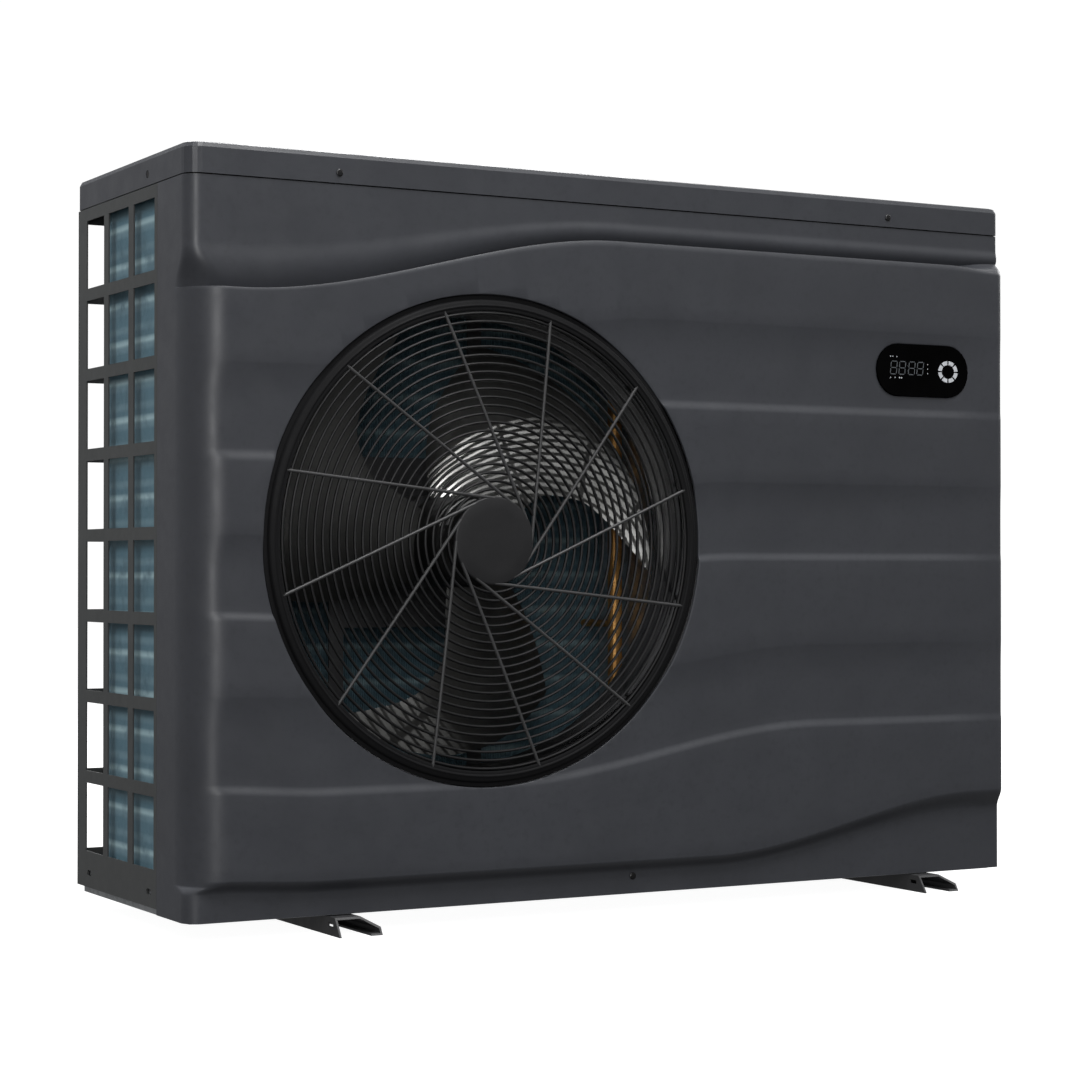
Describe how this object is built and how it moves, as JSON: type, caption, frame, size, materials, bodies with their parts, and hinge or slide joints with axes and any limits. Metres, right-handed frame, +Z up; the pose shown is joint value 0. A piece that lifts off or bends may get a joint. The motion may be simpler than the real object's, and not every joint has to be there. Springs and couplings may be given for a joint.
{
  "type": "pool heat pump",
  "caption": "Free-standing pool heat pump: side-discharge casing with a round fan grille, windowed coil panels, touch display and rear water unions.",
  "frame": {"origin": "on the floor, below the middle of the casing, midway along the foot rails", "axes": "+X along the width from the fan to the compressor side, -Y to the front with the fan grille, +Z up"},
  "size_m": [0.954, 0.359, 0.748],
  "materials": {
    "shell_grey": "satin moulded plastic, anthracite, fine grain",
    "sheet_grey": "powder-coated sheet steel, anthracite",
    "black_plastic": "satin black plastic",
    "black_paint": "semi-gloss black paint on steel",
    "gloss_black": "glossy black touch lens",
    "coated_fins": "blue-green coated aluminium fins",
    "copper": "bare copper tube, slightly dulled",
    "brass": "turned brass",
    "steel": "zinc-plated or stainless steel",
    "galvanised_sheet": "galvanised sheet steel",
    "aluminium": "extruded aluminium",
    "rubber": "black rubber",
    "white_pvc": "white PVC",
    "grey_pvc": "grey PVC",
    "circuit_board": "green circuit board"
  },
  "bodies": {
    "cabinet": {"accumulator": "black_paint", "base_pan": "galvanised_sheet", "base_screw_front": "steel", "cable_gland": "black_plastic", "coil_end_plate": "galvanised_sheet", "coil_gas_pipe": "copper", "coil_header": "copper", "coil_liquid_pipe": "copper", "compressor": "black_paint", "compressor_grommet_1": "rubber", "compressor_grommet_2": "rubber", "compressor_grommet_3": "rubber", "control_board": "circuit_board", "control_lens": "gloss_black", "discharge_pipe": "copper", "display_board": "circuit_board", "display_housing": "black_plastic", "drain_nozzle": "black_plastic", "electrical_box": "galvanised_sheet", "electrical_box_lid": "galvanised_sheet", "evaporator_coil": "coated_fins", "exchanger_gas_pipe": "copper", "expansion_valve": "brass", "fan_grille": "black_plastic", "fan_motor": "black_paint", "fan_shroud": "black_plastic", "flow_switch": "black_plastic", "four_way_valve": "brass", "front_panel": "shell_grey", "heat_exchanger": "grey_pvc", "heat_sink": "aluminium", "inlet_pipe": "white_pvc", "inlet_seal": "rubber", "inlet_tailpiece": "white_pvc", "left_foot_rail": "black_paint", "left_side_panel": "sheet_grey", "lid_screw_left": "steel", "lid_screw_right": "steel", "lid_screw_side": "steel", "motor_bracket": "black_paint", "outlet_pipe": "white_pvc", "outlet_seal": "rubber", "outlet_tailpiece": "white_pvc", "partition_plate": "galvanised_sheet", "rear_guard_panel": "sheet_grey", "rear_service_panel": "sheet_grey", "right_foot_rail": "black_paint", "right_side_panel": "sheet_grey", "side_screw_bottom": "steel", "side_screw_middle": "steel", "side_screw_top": "steel", "suction_pipe": "copper", "terminal_cover": "black_plastic", "top_cover": "shell_grey"},
    "fan": {"motor_shaft": "steel", "fan_impeller": "black_plastic", "fan_nut": "brass"},
    "inlet_nut": {"inlet_union_nut": "grey_pvc"},
    "outlet_nut": {"outlet_union_nut": "grey_pvc"},
    "paddle": {"flow_paddle": "steel"}
  },
  "joints": [
    {"name": "fan_spin", "type": "hinge", "parent": "cabinet", "child": "fan", "pos_m": [-0.163, 0, 0.376], "axis": [0, 1, 0], "continuous": true},
    {"name": "inlet_nut_turn", "type": "hinge", "parent": "cabinet", "child": "inlet_nut", "pos_m": [0.372, 0.16, 0.15], "axis": [0, 1, 0], "continuous": true},
    {"name": "outlet_nut_turn", "type": "hinge", "parent": "cabinet", "child": "outlet_nut", "pos_m": [0.372, 0.16, 0.42], "axis": [0, 1, 0], "continuous": true},
    {"name": "paddle_swing", "type": "hinge", "parent": "cabinet", "child": "paddle", "pos_m": [0.372, 0.112, 0.1695], "axis": [-1, 0, 0], "range_deg": [0, 30]}
  ]
}
